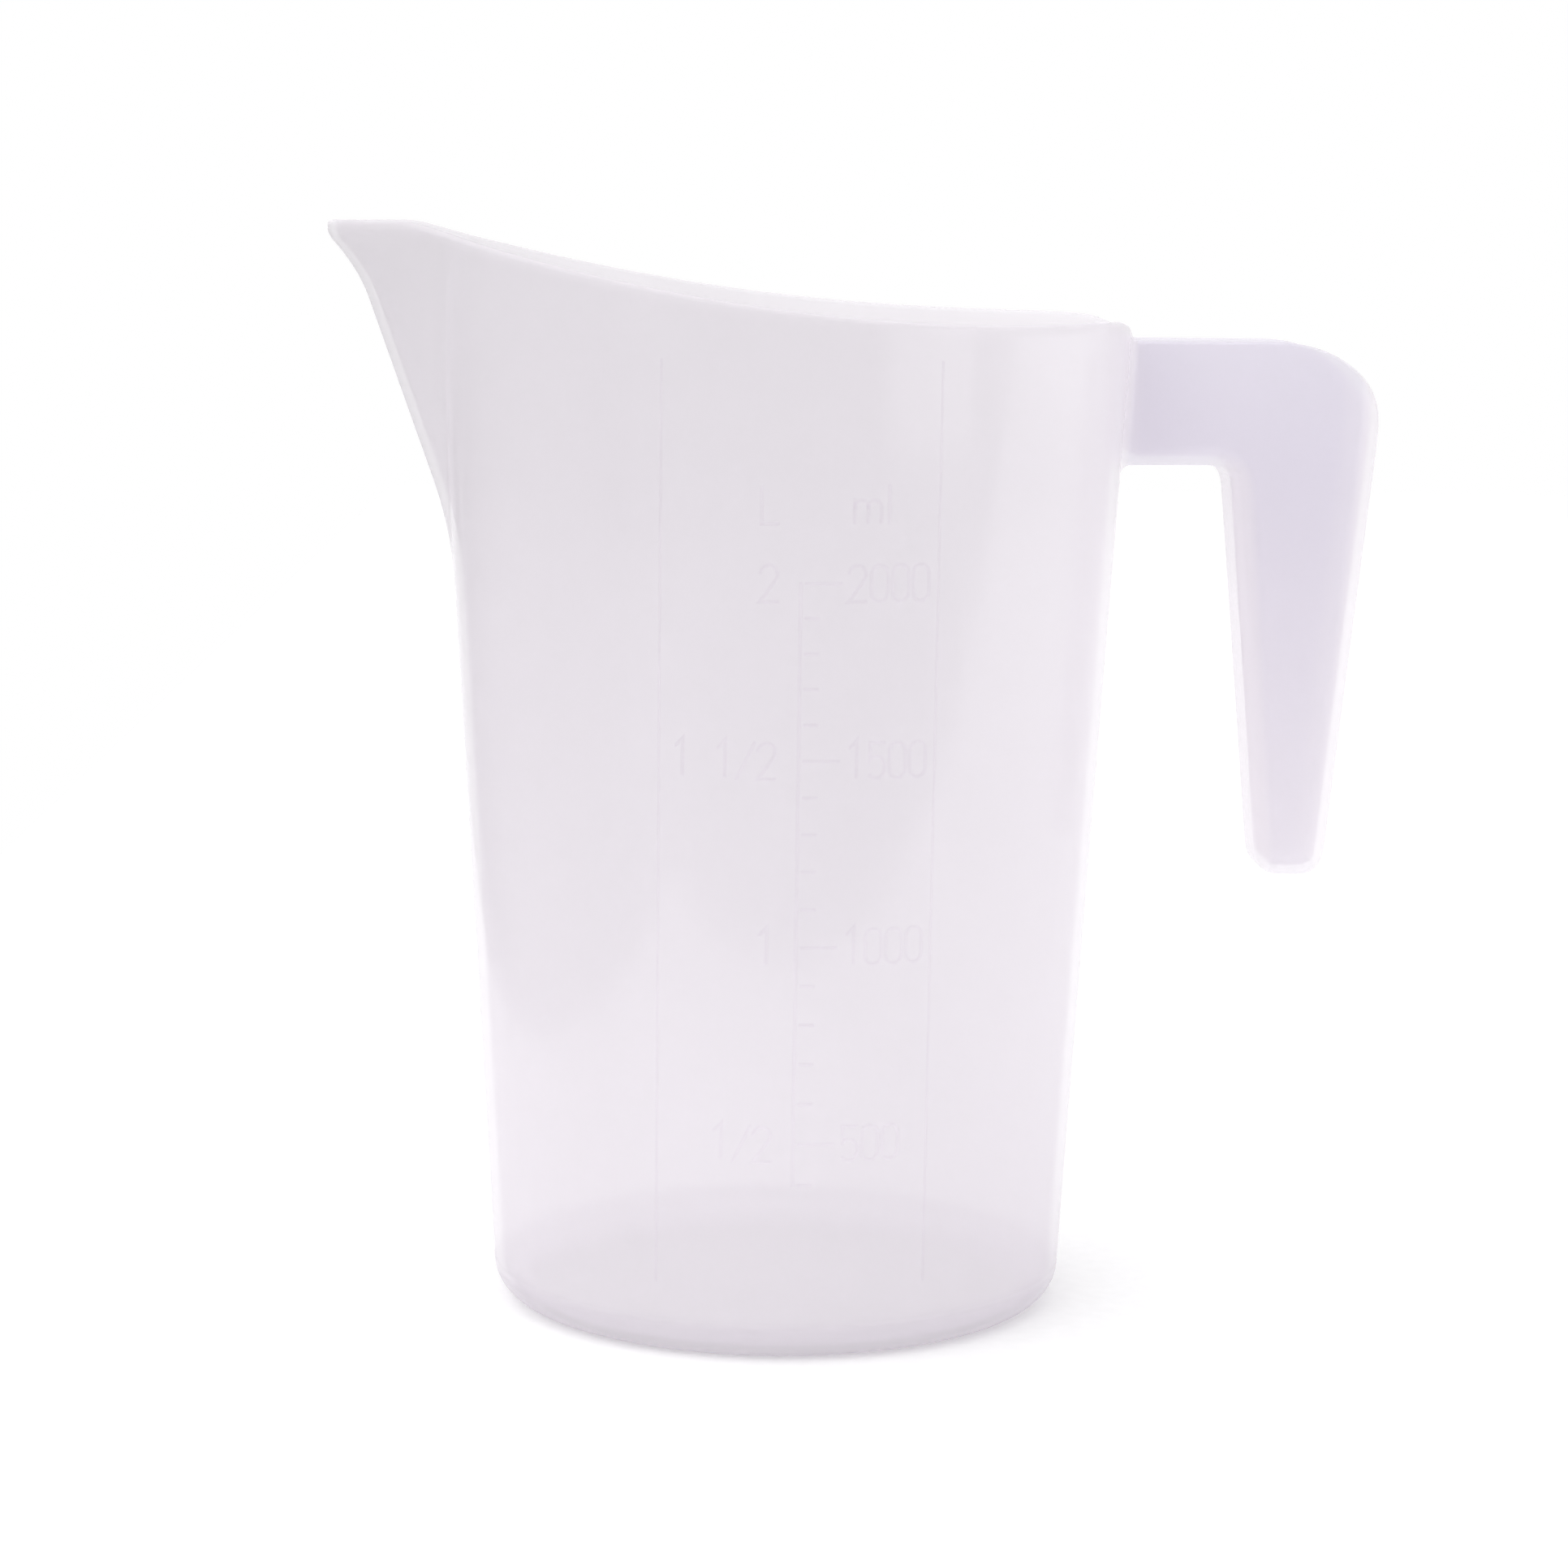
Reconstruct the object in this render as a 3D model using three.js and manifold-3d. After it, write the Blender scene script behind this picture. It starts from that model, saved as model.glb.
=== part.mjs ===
// Graduated measuring jug with a beak spout and an open-ended handle, moulded in one piece from
// translucent polypropylene, with a raised scale up to 2 litres.
// Millimetres, +Z up. The vessel stands on z = 0 with its axis on the Z axis. The spout points
// to -X, the handle to +X and the scale faces -Y.
import * as THREE from 'three';
import { mergeVertices } from 'three/addons/utils/BufferGeometryUtils.js';
import Module from 'manifold-3d';

const wasm = await Module();
wasm.setup();

// ---------------------------------------------------------------- driving dimensions

const SEAM = 0.3;                 // clearance between neighbouring solids
const WALL = 2;                   // thickness of the moulding
const BASE_RADIUS = 60.6;         // outer radius of the tapered wall, carried down to z = 0
const RIM_RADIUS = 73;            // outer radius at the handle side of the rim
const RIM_HEIGHT = 210.6;         // height of the level part of the rim
const HEEL_RADIUS = 8;            // outer rounding between floor and wall
const RIM_DEPTH = 3;              // height of the rounded mouth edge
const DIP_START = 67;             // x where the rim starts to round down to the handle
const DIP_RADIUS = 7;             // radius of that rounding

const SWEEP_START = 48;           // x where the rim leaves its level part
const SWEEP_RADIUS = 430;         // radius of the rim's upward sweep
const SPOUT_TOP = 229.5;          // height where the sweep ends, over the spout

const SPOUT_FOOT = 164.8;         // height where the keel leaves the wall
const SPOUT_FLARE = 213.5;        // height where the keel curls outwards
const KEEL_SLOPE = 0.353;         // keel's run outwards per mm of height
const KEEL_FLARE = 0.0235;        // extra run of the curl, per mm squared of height
const SPOUT_TIP = 96;             // furthest reach of the spout from the axis
const NOSE_RADIUS = 6;            // round keel of the V
const SPOUT_SIDE = THREE.MathUtils.degToRad(50);   // direction of a spout side's normal

const HANDLE_WIDTH = 26;          // across the arm, along Y
const HANDLE_END_WIDTH = 21;      // across the lower end of the grip
const HANDLE_EDGE = 3.5;          // rounding along the handle's long edges
const ARM_TOP = 206;
const ARM_UNDERSIDE = 180;
const ELBOW = { x: 103.5, rx: 21.9, rz: 18 };      // elliptical outer corner
const GRIP_BOTTOM = 92.2;
const GRIP_OUTER_END = 116.1;     // x of the grip's outer face at its lower end
const GRIP_INNER_TOP = 94;        // x of the grip's inner face at the arm's underside
const GRIP_INNER_END = 101.8;     // x of the grip's inner face at its lower end
const GRIP_CORNER = 5.5;          // lower corners of the grip
const PALM_CORNER = 5;            // inner corner between arm and grip
const ROOT_FILLET = 3.6;          // corner between the wall and the arm's underside
const GRIP_SEAM = 175;            // height where the grip meets the arm
const END_SEAM = 100;             // height where the closed end meets the grip

const RELIEF = 0.5;               // height of the raised marks above the wall
const LINE_WIDTH = 0.8;           // stroke of the lines and figures
const TICK_LONG = 7.6;
const TICK_SHORT = 3.2;
const SCALE = { first: 400, last: 2000, step: 100, major: 500 };   // millilitres
const GLYPH = { height: 7.2, width: 3.4, pitch: 4.3 };
const FIGURES_LEFT_EDGE = 9.6;    // right-hand column starts here, from the scale line
const LITRES_RIGHT_EDGE = -4.4;   // left-hand column ends here
const HEADER_HEIGHT = 176;        // middle of the unit letters
const PANEL_HALF_WIDTH = 28;      // scale line to each witness line
const PANEL_LINE = { bottom: 16, top: 204, width: 0.5 };

const WEDGE_SLOPE = 0.39;         // half-width per mm of height of the spout's seam
const WEDGE_DROP = 8;             // how far that seam starts below the spout's foot
const OVERRUN = 10;               // how far a cutting shape reaches past what it cuts
const SPOUT_ROWS = 12;            // rows up the spout
const ROUND_STEPS = 96;           // steps round the wall, the spout and the rim
const FLOOR_STEPS = 64;           // round the floor
const HEEL_STEPS = 60;            // round the heel
const HEEL_CURVE_STEPS = 3;       // along each of the heel's arcs
const HANDLE_CUT_STEPS = 72;      // round the vessel's outside, where it cuts the handle
const CROWDING = { wall: 0.3, rim: 0.7, spout: 0.86 };   // of the steps, towards the spout
const COLOUR = { vessel: 0xe6e1e7, handle: 0xded7e6, marks: 0xece8ee };

// ---------------------------------------------------------------- solids and booleans

function closedMesh(geometry) {
  const bare = geometry.index ? geometry.toNonIndexed() : geometry.clone();
  for (const name of Object.keys(bare.attributes)) {
    if (name !== 'position') bare.deleteAttribute(name);
  }
  return mergeVertices(bare, 1e-4);
}

function toSolid(geometry) {
  const merged = closedMesh(geometry);
  const vertProperties = new Float32Array(merged.attributes.position.array);
  const triVerts = new Uint32Array(merged.index.array);
  return new wasm.Manifold(new wasm.Mesh({ numProp: 3, vertProperties, triVerts }));
}

function toGeometry(solid) {
  const { vertProperties, triVerts } = solid.getMesh();
  const geometry = new THREE.BufferGeometry();
  geometry.setAttribute('position', new THREE.BufferAttribute(vertProperties, 3));
  geometry.setIndex(new THREE.BufferAttribute(triVerts, 1));
  return geometry;
}

// Moves every vertex of a geometry by a function that changes the vector it is given.
function bend(geometry, move) {
  const position = geometry.attributes.position;
  const point = new THREE.Vector3();
  for (let i = 0; i < position.count; i += 1) {
    point.fromBufferAttribute(position, i);
    move(point);
    position.setXYZ(i, point.x, point.y, point.z);
  }
  return geometry;
}

// A lathe turned so that its profile's y is height. The profile runs anticlockwise.
function turned(profile, steps) {
  const lathe = new THREE.LatheGeometry(profile, steps);
  return closedMesh(lathe.rotateX(Math.PI / 2));
}

// A block from `low` to `high`.
function block(low, high) {
  const size = new THREE.Vector3().subVectors(high, low);
  const middle = new THREE.Vector3().addVectors(low, high).multiplyScalar(0.5);
  return new THREE.BoxGeometry(size.x, size.y, size.z).translate(middle.x, middle.y, middle.z);
}

// ---------------------------------------------------------------- vessel shape

const TAPER = (RIM_RADIUS - BASE_RADIUS) / RIM_HEIGHT;
const LEAN = Math.atan(TAPER);
const wallRadius = (z) => BASE_RADIUS + TAPER * z;

const rimHeight = (x) => {
  const run = Math.max(0, SWEEP_START - x);
  const dip = Math.max(0, x - DIP_START);
  const level = RIM_HEIGHT - (dip * dip) / (2 * DIP_RADIUS);
  return Math.min(SPOUT_TOP, level + (run * run) / (2 * SWEEP_RADIUS));
};

// Reach of the spout's keel from the axis.
function keelReach(z) {
  const curl = Math.max(0, z - SPOUT_FLARE);
  const reach = wallRadius(SPOUT_FOOT) + KEEL_SLOPE * (z - SPOUT_FOOT) + KEEL_FLARE * curl * curl;
  return Math.min(SPOUT_TIP, reach);
}

// Distance from the axis to the spout's V section in the direction `turn` from -X. The V is a
// round nose with a straight side tangent to it on either hand.
function spoutReach(turn, z, inset) {
  const centre = keelReach(z) - NOSE_RADIUS;
  const nose = NOSE_RADIUS - inset;
  const side = centre * Math.cos(SPOUT_SIDE) + nose;
  const tangent = Math.atan2(nose * Math.sin(SPOUT_SIDE), centre + nose * Math.cos(SPOUT_SIDE));
  if (turn > tangent) return side / Math.cos(Math.min(turn, SPOUT_SIDE) - SPOUT_SIDE);
  const across = centre * Math.sin(turn);
  return centre * Math.cos(turn) + Math.sqrt(nose * nose - across * across);
}

// Distance from the axis to the moulding's surface, `inset` below its outer face.
function surfaceReach(turn, z, inset) {
  const wall = wallRadius(z) - inset;
  if (z < SPOUT_FOOT || turn > SPOUT_SIDE) return wall;
  return Math.max(wall, spoutReach(turn, z, inset));
}

// Height of the mouth in the direction `turn` from -X, found where surface and sweep meet.
function mouthHeight(turn) {
  let z = RIM_HEIGHT;
  for (let i = 0; i < 8; i += 1) {
    z = rimHeight(-Math.cos(turn) * surfaceReach(turn, z, 0));
  }
  return z;
}

// A ring of the vessel's wall. `profile` gives its section as (depth, rise): depth runs from 0
// on the outer face to 1 on the inner, rise from 0 at `lower(turn)` to 1 at `upper(turn)`.
// `crowding` draws the steps round the vessel together towards the spout.
function wallRing(profile, lower, upper, reach, crowding) {
  const section = profile.map((point) => new THREE.Vector2(2 - point.x, point.y));
  return bend(turned(section, ROUND_STEPS), (point) => {
    const depth = 2 - Math.hypot(point.x, point.y);
    const even = Math.atan2(point.y, -point.x);
    const turn = even - crowding * Math.sin(even);
    const side = Math.abs(turn);
    const z = THREE.MathUtils.lerp(lower(side), upper(side), point.z);
    const distance = reach(side, z, depth * WALL);
    point.set(-distance * Math.cos(turn), distance * Math.sin(turn), z);
  });
}

// ---------------------------------------------------------------- floor, heel, wall, spout, rim

// Centre of the arc that is tangent to the floor's face at `level` and to the wall's face.
function cornerCentre(radius, level, inset) {
  const z = level + radius;
  return new THREE.Vector2(wallRadius(z) - (inset + radius) / Math.cos(LEAN), z);
}

function vesselFloor() {
  const edge = cornerCentre(HEEL_RADIUS, 0, 0).x - SEAM;
  const profile = [[0, 0], [edge, 0], [edge, WALL], [0, WALL]];
  return turned(profile.map(([x, y]) => new THREE.Vector2(x, y)), FLOOR_STEPS);
}

function heelRing() {
  const outer = cornerCentre(HEEL_RADIUS, 0, 0);
  const inner = cornerCentre(HEEL_RADIUS - WALL, WALL, WALL);
  const path = new THREE.Path();
  path.absarc(outer.x, outer.y, HEEL_RADIUS, -Math.PI / 2, -LEAN, false);
  path.absarc(inner.x, inner.y, HEEL_RADIUS - WALL, -LEAN, -Math.PI / 2, true);
  const profile = path.getPoints(HEEL_CURVE_STEPS);
  profile.push(profile[0].clone());
  return turned(profile, HEEL_STEPS);
}

const WALL_FOOT = HEEL_RADIUS + SEAM;
const rimUnderside = (turn) => mouthHeight(turn) - RIM_DEPTH;
const wallTop = (turn) => rimUnderside(turn) - SEAM;

// Section of a wall ring with `rows` steps up its two faces.
function plainSection(rows) {
  const outer = [];
  const inner = [];
  for (let i = 0; i <= rows; i += 1) {
    outer.push(new THREE.Vector2(0, i / rows));
    inner.unshift(new THREE.Vector2(1, i / rows));
  }
  return [...outer, ...inner, outer[0].clone()];
}

// The tapered wall, cut away behind the spout's wedge.
function vesselWall() {
  const cone = (turn, z, inset) => wallRadius(z) - inset;
  const ring = wallRing(plainSection(1), () => WALL_FOOT, wallTop, cone, CROWDING.wall);
  return toGeometry(toSolid(ring).subtract(toSolid(spoutWedge(0))));
}

// The wall's stretch inside the wedge, bulging out into the beak.
function pouringSpout() {
  const section = plainSection(SPOUT_ROWS);
  const foot = () => SPOUT_FOOT - 1.5 * WEDGE_DROP;
  const ring = wallRing(section, foot, wallTop, surfaceReach, CROWDING.spout);
  return toGeometry(toSolid(ring).intersect(toSolid(spoutWedge(SEAM / WEDGE_SLOPE))));
}

// Wedge-shaped prism over the spout, with its lower edge raised by `lift`.
function spoutWedge(lift) {
  const foot = SPOUT_FOOT - WEDGE_DROP + lift;
  const top = SPOUT_TOP + OVERRUN;
  const spread = WEDGE_SLOPE * (top - foot);
  const triangle = new THREE.Shape([[0, foot], [spread, top], [-spread, top]]
    .map(([x, y]) => new THREE.Vector2(x, y)));
  const tip = SPOUT_TIP + OVERRUN;
  const depth = tip - BASE_RADIUS / 2;
  const prism = new THREE.ExtrudeGeometry(triangle, { depth, bevelEnabled: false });
  return prism.rotateX(Math.PI / 2).rotateZ(Math.PI / 2).translate(-tip, 0, 0);
}

// The rim's section has a full round top.
function rimEdge() {
  const crown = new THREE.Path();
  crown.moveTo(0, 0);
  crown.absellipse(0.5, 0.7, 0.5, 0.3, Math.PI, 0, true);
  crown.lineTo(1, 0);
  const profile = crown.getPoints(3);
  profile.push(profile[0].clone());
  return wallRing(profile, rimUnderside, mouthHeight, surfaceReach, CROWDING.rim);
}

// ---------------------------------------------------------------- handle

const SHOULDER = ARM_TOP - ELBOW.rz;     // height where the grip's outer face ends

// Outer face of the grip at height z, and its inner face.
const gripOuter = (z) => {
  const rise = (z - GRIP_BOTTOM) / (SHOULDER - GRIP_BOTTOM);
  return THREE.MathUtils.lerp(GRIP_OUTER_END, ELBOW.x + ELBOW.rx, rise);
};
const gripInner = (z) => {
  const rise = (z - GRIP_BOTTOM) / (ARM_UNDERSIDE - GRIP_BOTTOM);
  return THREE.MathUtils.lerp(GRIP_INNER_END, GRIP_INNER_TOP, rise);
};

// Side view of the handle in (x, z), `inset` inside its outer face. It runs on past the arm's
// top, where the trim cuts it, and into the vessel, where the wall cuts it.
function handleOutline(inset) {
  const root = BASE_RADIUS;
  const wall = wallRadius(ARM_UNDERSIDE) + inset;
  const under = ARM_UNDERSIDE + inset;
  const floor = GRIP_BOTTOM + inset;
  const corner = GRIP_CORNER - inset;
  const palm = PALM_CORNER + inset;
  const inner = (z) => gripInner(z) + inset;
  const outer = (z) => gripOuter(z) - inset;
  const outline = new THREE.Shape();
  outline.moveTo(root, under - ROOT_FILLET);
  outline.lineTo(wall, under - ROOT_FILLET);
  outline.quadraticCurveTo(wall, under, wall + ROOT_FILLET, under);
  outline.lineTo(inner(under) - palm, under);
  outline.quadraticCurveTo(inner(under), under, inner(under - palm), under - palm);
  outline.lineTo(inner(floor + corner), floor + corner);
  outline.quadraticCurveTo(inner(floor), floor, inner(floor) + corner, floor);
  outline.lineTo(outer(floor) - corner, floor);
  outline.quadraticCurveTo(outer(floor), floor, outer(floor + corner), floor + corner);
  outline.lineTo(outer(SHOULDER), SHOULDER);
  outline.lineTo(outer(SHOULDER), ARM_TOP + OVERRUN);
  outline.lineTo(root, ARM_TOP + OVERRUN);
  return outline;
}

// The outline drawn out across Y with rounded long edges. It narrows towards the grip's end.
function handleBlank(inset) {
  const edge = HANDLE_EDGE - inset;
  const depth = HANDLE_WIDTH - 2 * inset - 2 * edge;
  const blank = new THREE.ExtrudeGeometry(handleOutline(inset), {
    depth, curveSegments: 6, bevelSize: edge, bevelOffset: -edge, bevelThickness: edge, bevelSegments: 3,
  });
  blank.translate(0, 0, -depth / 2).rotateX(Math.PI / 2);
  const narrowing = 1 - HANDLE_END_WIDTH / HANDLE_WIDTH;
  return bend(closedMesh(blank), (point) => {
    const drop = THREE.MathUtils.clamp((ARM_TOP - point.z) / (ARM_TOP - GRIP_BOTTOM), 0, 1);
    point.y *= 1 - narrowing * drop;
  });
}

// All that lies under the arm's top line and the elbow's curve.
function handleTrim() {
  const end = ELBOW.x + ELBOW.rx;
  const shape = new THREE.Shape();
  shape.moveTo(0, 0);
  shape.lineTo(end, 0);
  shape.absellipse(ELBOW.x, SHOULDER, ELBOW.rx, ELBOW.rz, 0, Math.PI / 2, false);
  shape.lineTo(0, ARM_TOP);
  const depth = HANDLE_WIDTH + 2 * OVERRUN;
  const prism = new THREE.ExtrudeGeometry(shape, { depth, curveSegments: 10, bevelEnabled: false });
  return prism.translate(0, 0, -depth / 2).rotateX(Math.PI / 2);
}

// The vessel's outside as one solid, held clear of its neighbours by the seam.
function vesselClearance() {
  const edge = SEAM / Math.cos(LEAN);
  const top = RIM_HEIGHT + OVERRUN;
  const profile = [[0, 0], [wallRadius(0) + edge, 0], [wallRadius(top) + edge, top], [0, top]];
  return turned(profile.map(([x, y]) => new THREE.Vector2(x, y)), HANDLE_CUT_STEPS);
}

function handleShell() {
  return toSolid(handleBlank(0))
    .intersect(toSolid(handleTrim()))
    .subtract(toSolid(handleBlank(WALL)))
    .subtract(toSolid(vesselClearance()));
}

// The part of `solid` between two heights, clear of its neighbours by half the seam at each cut.
function slice(solid, bottom, top) {
  const side = HANDLE_WIDTH / 2 + OVERRUN;
  const end = ELBOW.x + ELBOW.rx + OVERRUN;
  const low = new THREE.Vector3(0, -side, bottom + SEAM / 2);
  const high = new THREE.Vector3(end, side, top - SEAM / 2);
  return toGeometry(solid.intersect(toSolid(block(low, high))));
}

// ---------------------------------------------------------------- raised scale

// Wraps a flat piece onto the wall's -Y side: its x runs round the wall from the scale line,
// its y is height and its z stands out from the wall.
function wrapOnWall(geometry) {
  return bend(geometry, (point) => {
    const reach = wallRadius(point.y) + point.z;
    const turn = point.x / wallRadius(point.y);
    point.set(reach * Math.sin(turn), -reach * Math.cos(turn), point.y);
  });
}

// A raised bar on the wall, centred at (x, z).
function bar(x, z, width, height) {
  const steps = Math.max(1, Math.round(width / 2));
  const flat = new THREE.BoxGeometry(width, height, RELIEF, steps, 1, 1);
  return wrapOnWall(closedMesh(flat.translate(x, z, SEAM + RELIEF / 2)));
}

// Millilitres that the vessel holds up to height z: a cone's frustum less the rounded heel.
function volumeAt(z) {
  const low = wallRadius(WALL) - WALL;
  const high = wallRadius(z) - WALL;
  const heel = (HEEL_RADIUS - WALL) ** 2 * (1 - Math.PI / 4) * 2 * Math.PI * (low - 1);
  return ((Math.PI * (z - WALL) * (low * low + low * high + high * high)) / 3 - heel) / 1000;
}

// Height of a graduation, found by halving the interval.
function markHeight(millilitres) {
  let low = WALL;
  let high = RIM_HEIGHT;
  for (let i = 0; i < 40; i += 1) {
    const middle = (low + high) / 2;
    if (volumeAt(middle) < millilitres) low = middle;
    else high = middle;
  }
  return low;
}

const QUARTER = Math.PI / 2;

// Strokes of each character in a box one unit wide and two high, centred on its middle. A stroke
// is a list of corners [x, y] and arcs [centre x, centre y, radius x, radius y, from, to], with
// from and to in quarter turns. A stroke that ends where it starts is a loop.
const STROKES = {
  0: [[[0, 0.5, 0.5, 0.5, 0, 2], [0, -0.5, 0.5, 0.5, 2, 4], [0.5, 0.5]]],
  1: [[[-0.35, 0.6], [0.05, 1], [0.05, -1]]],
  2: [[[0, 0.5, 0.5, 0.5, 1.9, -0.4], [-0.5, -1], [0.5, -1]]],
  5: [[[0.45, 1], [-0.4, 1], [-0.02, -0.38, 0.52, 0.62, 1.5, -1.5]]],
  '/': [[[0.5, 1], [-0.5, -1]]],
  L: [[[-0.45, 1], [-0.45, -1], [0.5, -1]]],
  m: [[[-0.8, 0.25], [-0.8, -1]],
    [[-0.4, -0.2, 0.4, 0.4, 2, 0], [0, -1]],
    [[0.4, -0.2, 0.4, 0.4, 2, 0], [0.8, -1]]],
  l: [[[0, 1], [0, -1]]],
};

function strokePoints(stroke) {
  const scale = new THREE.Vector2(GLYPH.width, GLYPH.height / 2);
  const points = stroke.flatMap(([x, y, rx, ry, from, to]) => {
    if (rx === undefined) return [new THREE.Vector2(x, y)];
    const arc = new THREE.EllipseCurve(x, y, rx, ry, from * QUARTER, to * QUARTER, from > to);
    return arc.getPoints(Math.ceil(Math.abs(to - from) * 2.5));
  });
  return points.map((point) => point.multiply(scale));
}

// The line beside a stroke at `offset` to its left, with mitred corners.
function besideStroke(points, offset, loop) {
  const count = points.length;
  return points.map((point, i) => {
    const before = points[i > 0 ? i - 1 : (loop ? count - 1 : 0)];
    const after = points[i < count - 1 ? i + 1 : (loop ? 0 : count - 1)];
    const arriving = new THREE.Vector2().subVectors(point, before).normalize();
    const leaving = new THREE.Vector2().subVectors(after, point).normalize();
    if (!loop && i === 0) arriving.copy(leaving);
    if (!loop && i === count - 1) leaving.copy(arriving);
    const mitre = arriving.clone().add(leaving).divideScalar(1 + arriving.dot(leaving));
    return new THREE.Vector2(point.x - mitre.y * offset, point.y + mitre.x * offset);
  });
}

// One stroke as a flat raised ribbon.
function strokeSolid(stroke) {
  const points = strokePoints(stroke);
  const loop = points[0].distanceTo(points[points.length - 1]) < SEAM;
  if (loop) points.pop();
  const left = besideStroke(points, LINE_WIDTH / 2, loop);
  const right = besideStroke(points, -LINE_WIDTH / 2, loop);
  const shape = new THREE.Shape(loop ? right : [...right, ...left.reverse()]);
  if (loop) shape.holes.push(new THREE.Path(left));
  const ribbon = new THREE.ExtrudeGeometry(shape, { depth: RELIEF, bevelEnabled: false });
  return toSolid(ribbon.translate(0, 0, SEAM));
}

// A raised character on the wall with its middle at (x, z).
function glyph(character, x, z) {
  const solid = STROKES[character].map(strokeSolid).reduce((whole, stroke) => whole.add(stroke));
  return wrapOnWall(closedMesh(toGeometry(solid).translate(x, z, 0)));
}

// ---------------------------------------------------------------- assembly

const jug = new THREE.Group();
const vessel = new THREE.Group();
const handle = new THREE.Group();
const scale = new THREE.Group();
jug.add(vessel, handle, scale);

function place(parent, name, geometry, color) {
  geometry.computeVertexNormals();
  const material = new THREE.MeshStandardMaterial({ color, roughness: 0.45, metalness: 0 });
  const mesh = new THREE.Mesh(geometry, material);
  mesh.name = name;
  parent.add(mesh);
}

place(vessel, 'vessel_floor', vesselFloor(), COLOUR.vessel);
place(vessel, 'heel_ring', heelRing(), COLOUR.vessel);
place(vessel, 'vessel_wall', vesselWall(), COLOUR.vessel);
place(vessel, 'pouring_spout', pouringSpout(), COLOUR.vessel);
place(vessel, 'rim_edge', rimEdge(), COLOUR.vessel);

const shell = handleShell();
place(handle, 'handle_arm', slice(shell, GRIP_SEAM, ARM_TOP + OVERRUN), COLOUR.handle);
place(handle, 'handle_grip', slice(shell, END_SEAM, GRIP_SEAM), COLOUR.handle);
place(handle, 'handle_end', slice(shell, GRIP_BOTTOM - OVERRUN, END_SEAM), COLOUR.handle);

const lineBottom = markHeight(SCALE.first) - LINE_WIDTH / 2;
const lineTop = markHeight(SCALE.last) + LINE_WIDTH / 2;
const lineMiddle = (lineBottom + lineTop) / 2;
place(scale, 'scale_line', bar(0, lineMiddle, LINE_WIDTH, lineTop - lineBottom), COLOUR.marks);

for (let mark = SCALE.first; mark <= SCALE.last; mark += SCALE.step) {
  const length = mark % SCALE.major === 0 ? TICK_LONG : TICK_SHORT;
  const start = LINE_WIDTH / 2 + SEAM;
  const tick = bar(start + length / 2, markHeight(mark), length, LINE_WIDTH);
  place(scale, `graduation_${String(mark).padStart(4, '0')}`, tick, COLOUR.marks);
}

// Writes a word with its first character's middle at x.
function write(name, word, x, z) {
  [...word].forEach((character, i) => {
    if (character === ' ') return;
    place(scale, `${name}_${i + 1}`, glyph(character, x + i * GLYPH.pitch, z), COLOUR.marks);
  });
}

const litreLabels = { 500: '1/2', 1000: '1', 1500: '1 1/2', 2000: '2' };
for (const [millilitres, litres] of Object.entries(litreLabels)) {
  const z = markHeight(Number(millilitres));
  write(`numeral_${millilitres}`, millilitres, FIGURES_LEFT_EDGE + GLYPH.width / 2, z);
  const start = LITRES_RIGHT_EDGE - GLYPH.width / 2 - (litres.length - 1) * GLYPH.pitch;
  write(`litres_for_${millilitres}`, litres, start, z);
}
write('unit_millilitre', 'ml', FIGURES_LEFT_EDGE + GLYPH.width, HEADER_HEIGHT);
write('unit_litre', 'L', LITRES_RIGHT_EDGE - GLYPH.width / 2, HEADER_HEIGHT);

for (const [side, direction] of [['left', -1], ['right', 1]]) {
  const middle = (PANEL_LINE.bottom + PANEL_LINE.top) / 2;
  const length = PANEL_LINE.top - PANEL_LINE.bottom;
  const line = bar(direction * PANEL_HALF_WIDTH, middle, PANEL_LINE.width, length);
  place(scale, `panel_line_${side}`, line, COLOUR.marks);
}

export default jug;
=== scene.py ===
"""A translucent plastic measuring jug on a pale floor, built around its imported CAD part.

The jug is one moulding: a tapered vessel with a drawn-out spout, an open-topped hollow handle and
raised marks. Lengths are in metres. The spout points along -X, the handle along +X, and the marks
are on the -Y side.
"""

import math

import bmesh
import bpy
import numpy as np
from mathutils import Matrix, Vector


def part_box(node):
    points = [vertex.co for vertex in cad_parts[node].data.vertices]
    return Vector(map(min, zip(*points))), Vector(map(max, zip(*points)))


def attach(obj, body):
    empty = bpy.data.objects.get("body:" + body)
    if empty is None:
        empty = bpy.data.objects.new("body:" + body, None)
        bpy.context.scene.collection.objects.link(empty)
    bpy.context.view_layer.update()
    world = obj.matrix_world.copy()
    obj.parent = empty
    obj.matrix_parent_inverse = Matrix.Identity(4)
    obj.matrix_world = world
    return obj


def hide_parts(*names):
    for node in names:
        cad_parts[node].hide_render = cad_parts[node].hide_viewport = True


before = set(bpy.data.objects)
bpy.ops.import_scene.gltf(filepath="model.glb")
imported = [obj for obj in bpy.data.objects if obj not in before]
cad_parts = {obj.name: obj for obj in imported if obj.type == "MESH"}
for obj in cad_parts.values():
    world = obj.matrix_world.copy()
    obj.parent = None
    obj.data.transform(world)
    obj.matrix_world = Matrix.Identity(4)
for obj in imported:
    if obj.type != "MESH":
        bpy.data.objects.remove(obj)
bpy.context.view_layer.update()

MM = 0.001

# ---------------------------------------------------------------- driving dimensions

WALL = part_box("vessel_floor")[1].z          # the plastic's thickness
BASE_RADIUS = 60.6 * MM                     # cone of the wall, where it would meet the floor
RIM_RADIUS = 73 * MM                        # and at the level part of the rim
RIM_HEIGHT = 210.6 * MM
HEEL_RADIUS = 8 * MM                        # outer corner between floor and wall
TAPER = (RIM_RADIUS - BASE_RADIUS) / RIM_HEIGHT
LEAN = math.atan(TAPER)

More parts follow.
